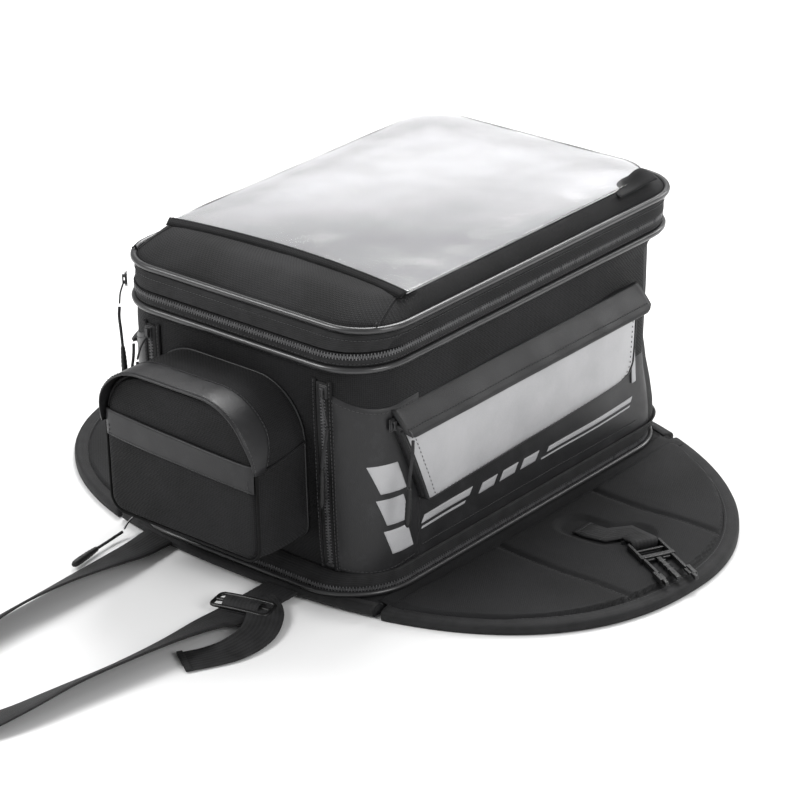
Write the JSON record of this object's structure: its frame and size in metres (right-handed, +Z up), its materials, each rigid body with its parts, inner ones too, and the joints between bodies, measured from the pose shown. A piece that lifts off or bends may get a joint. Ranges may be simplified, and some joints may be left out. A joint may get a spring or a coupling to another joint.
{
  "type": "motorcycle tank bag",
  "caption": "Zip-off tank bag: a stuffed bag with a clear map lid, a front pocket and side pockets on a winged magnetic harness base.",
  "frame": {"origin": "middle of the underside that rests on the tank, midway between the wings' fold lines", "axes": "+Z up through the bag, +Y towards the bag's rear, so the front pocket and headstock strap lie on -Y; X across the bag"},
  "size_m": [0.6384, 0.785, 0.2608],
  "materials": {
    "black_weave": "woven",
    "smooth_vinyl": "satin",
    "piping_vinyl": "gloss",
    "zip_tape": "ribbed",
    "webbing": "ribbed",
    "binding_tape": "ribbed",
    "anti_slip": "matt",
    "reflective": "retroreflective",
    "clear_vinyl": "gloss",
    "map_backing": "smooth",
    "lining": "matt",
    "board": "matt",
    "buckle_plastic": "moulded",
    "zip_metal": "worn",
    "bright_metal": "polished",
    "magnet_metal": "plated",
    "pull_cord": "braided",
    "grip_rubber": "moulded"
  },
  "bodies": {
    "base": {"grip_pad": "anti_slip", "base_board": "board", "base_cover": "black_weave", "base_piping": "piping_vinyl", "base_zip_tape": "zip_tape", "headstock_strap": "webbing"},
    "strap_adjuster": {"strap_adjuster": "buckle_plastic", "strap_tail": "webbing"},
    "right_wing": {"right_wing": "black_weave", "right_wing_underside": "anti_slip", "right_wing_magnets": "magnet_metal", "right_wing_binding": "binding_tape", "right_buckle_strap": "webbing"},
    "left_wing": {"left_wing": "black_weave", "left_wing_underside": "anti_slip", "left_wing_magnets": "magnet_metal", "left_wing_binding": "binding_tape", "left_buckle_strap": "webbing"},
    "right_buckle": {"right_buckle_plug": "buckle_plastic"},
    "left_buckle": {"left_buckle_plug": "buckle_plastic"},
    "bag": {"bag_shell": "black_weave", "foam_lining": "lining", "bag_floor": "black_weave", "floor_board": "board", "body_piping": "piping_vinyl", "body_zip_tape": "zip_tape", "right_corner_panel": "smooth_vinyl", "left_corner_panel": "smooth_vinyl", "right_side_pocket": "reflective", "left_side_pocket": "reflective", "front_pocket": "black_weave", "front_pocket_hood": "smooth_vinyl"},
    "right_rain_flap": {"right_rain_flap": "smooth_vinyl"},
    "left_rain_flap": {"left_rain_flap": "smooth_vinyl"},
    "front_pocket_flap": {"front_pocket_flap": "black_weave"},
    "lid": {"lid_shell": "black_weave", "lid_lining": "lining", "lid_piping": "piping_vinyl", "lid_zip_tape": "zip_tape", "map_back": "map_backing", "map_window": "clear_vinyl"},
    "lid_slider": {"lid_slider": "zip_metal"},
    "lid_pull": {"lid_pull_cord": "pull_cord", "lid_pull_grip": "grip_rubber"},
    "base_slider": {"base_slider": "bright_metal"},
    "base_pull": {"base_pull_cord": "pull_cord", "base_pull_grip": "grip_rubber"},
    "right_corner_slider": {"right_corner_slider": "zip_metal"},
    "right_corner_pull": {"right_corner_pull_cord": "pull_cord", "right_corner_pull_grip": "grip_rubber"},
    "left_corner_slider": {"left_corner_slider": "zip_metal"},
    "left_corner_pull": {"left_corner_pull_cord": "pull_cord", "left_corner_pull_grip": "grip_rubber"},
    "right_pocket_slider": {"right_pocket_slider": "zip_metal"},
    "right_pocket_pull": {"right_pocket_pull_cord": "pull_cord", "right_pocket_pull_grip": "grip_rubber"},
    "left_pocket_slider": {"left_pocket_slider": "zip_metal"},
    "left_pocket_pull": {"left_pocket_pull_cord": "pull_cord", "left_pocket_pull_grip": "grip_rubber"}
  },
  "joints": [
    {"name": "bag_lift_off", "type": "slide", "parent": "base", "child": "bag", "axis": [0, 0, 1], "range_m": [0, 0.12]},
    {"name": "lid_open", "type": "hinge", "parent": "bag", "child": "lid", "pos_m": [0, 0.2145, 0.2221], "axis": [-1, 0, 0], "range_deg": [0, 100]},
    {"name": "right_wing_fold", "type": "hinge", "parent": "base", "child": "right_wing", "pos_m": [0.146, 0, 0.004], "axis": [0, -1, 0], "range_deg": [-60, 65]},
    {"name": "left_wing_fold", "type": "hinge", "parent": "base", "child": "left_wing", "pos_m": [-0.146, 0, 0.004], "axis": [0, 1, 0], "range_deg": [-60, 65]},
    {"name": "right_buckle_swing", "type": "hinge", "parent": "right_wing", "child": "right_buckle", "pos_m": [0.249, 0, 0.014], "axis": [-0.4695, -0.8829, 0], "range_deg": [0, 100]},
    {"name": "left_buckle_swing", "type": "hinge", "parent": "left_wing", "child": "left_buckle", "pos_m": [-0.249, 0, 0.014], "axis": [-0.4695, 0.8829, 0], "range_deg": [0, 100]},
    {"name": "right_rain_flap_lift", "type": "hinge", "parent": "bag", "child": "right_rain_flap", "pos_m": [0.138, 0, 0.176], "axis": [0, -1, 0], "range_deg": [0, 105]},
    {"name": "left_rain_flap_lift", "type": "hinge", "parent": "bag", "child": "left_rain_flap", "pos_m": [-0.138, 0, 0.176], "axis": [0, 1, 0], "range_deg": [0, 105]},
    {"name": "front_pocket_open", "type": "hinge", "parent": "bag", "child": "front_pocket_flap", "pos_m": [-0.009, -0.2724, 0.1312], "axis": [1, 0, 0], "range_deg": [0, 95]},
    {"name": "strap_adjust", "type": "slide", "parent": "base", "child": "strap_adjuster", "axis": [0, -1, 0], "range_m": [0, 0.01]},
    {"name": "lid_zip", "type": "hinge", "parent": "bag", "child": "lid_slider", "pos_m": [-0.0946, -0.1696, 0.222], "axis": [0, 0, 1], "range_deg": [-24, 16]},
    {"name": "base_zip", "type": "hinge", "parent": "base", "child": "base_slider", "pos_m": [-0.078, -0.163, 0.016], "axis": [0, 0, 1], "range_deg": [-12, 0]},
    {"name": "right_corner_zip", "type": "slide", "parent": "bag", "child": "right_corner_slider", "axis": [0, 0, -1], "range_m": [0, 0.062]},
    {"name": "left_corner_zip", "type": "slide", "parent": "bag", "child": "left_corner_slider", "axis": [0, 0, -1], "range_m": [0, 0.062]},
    {"name": "right_pocket_zip", "type": "slide", "parent": "bag", "child": "right_pocket_slider", "axis": [0, 1, 0], "range_m": [0, 0.27]},
    {"name": "left_pocket_zip", "type": "slide", "parent": "bag", "child": "left_pocket_slider", "axis": [0, 1, 0], "range_m": [0, 0.27]},
    {"name": "lid_pull_swing", "type": "hinge", "parent": "lid_slider", "child": "lid_pull", "pos_m": [-0.1314, -0.2108, 0.2006], "axis": [-0.7071, 0.7071, 0], "range_deg": [0, 80]},
    {"name": "base_pull_swing", "type": "hinge", "parent": "base_slider", "child": "base_pull", "pos_m": [-0.1171, -0.237, 0.007], "axis": [-1, 0, 0], "range_deg": [0, 60]},
    {"name": "right_corner_pull_swing", "type": "hinge", "parent": "right_corner_slider", "child": "right_corner_pull", "pos_m": [0.1038, -0.221, 0.1614], "axis": [-1, 0, 0], "range_deg": [0, 80]},
    {"name": "left_corner_pull_swing", "type": "hinge", "parent": "left_corner_slider", "child": "left_corner_pull", "pos_m": [-0.1038, -0.221, 0.1614], "axis": [-1, 0, 0], "range_deg": [0, 50]},
    {"name": "right_pocket_pull_swing", "type": "hinge", "parent": "right_pocket_slider", "child": "right_pocket_pull", "pos_m": [0.1533, -0.176, 0.1483], "axis": [0, -1, 0], "range_deg": [0, 80]},
    {"name": "left_pocket_pull_swing", "type": "hinge", "parent": "left_pocket_slider", "child": "left_pocket_pull", "pos_m": [-0.1533, -0.176, 0.1483], "axis": [0, 1, 0], "range_deg": [0, 80]}
  ]
}
